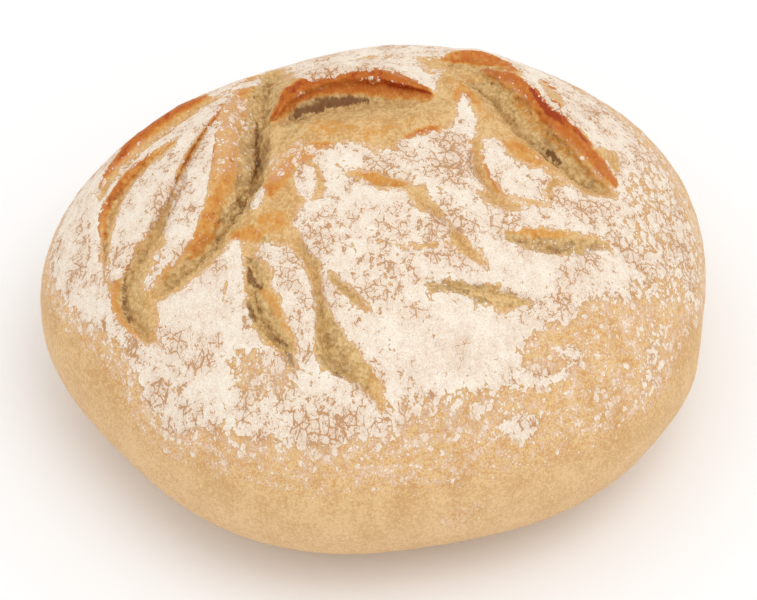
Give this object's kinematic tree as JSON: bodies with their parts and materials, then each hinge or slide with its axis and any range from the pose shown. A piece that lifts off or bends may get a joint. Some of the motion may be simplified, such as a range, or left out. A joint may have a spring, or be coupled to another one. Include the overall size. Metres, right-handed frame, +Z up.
{
  "type": "multigrain bread",
  "caption": "Round hearth loaf with a low dome on a flat foot, its top slashed in a leaf pattern whose cuts burst open into raised ears and smooth aprons.",
  "frame": {"origin": "middle of the plane of the flat foot, under the middle of the loaf's box", "axes": "+Z up; +X along the loaf's longest extent, to the right of the slash pattern seen from its front; -Y towards the front, where the leaf pattern's open ends point"},
  "size_m": [0.2414, 0.2278, 0.0957],
  "materials": {
    "crust": "matte baked crust dusted with flour"
  },
  "bodies": {
    "root": {"loaf": "crust"}
  },
  "joints": []
}
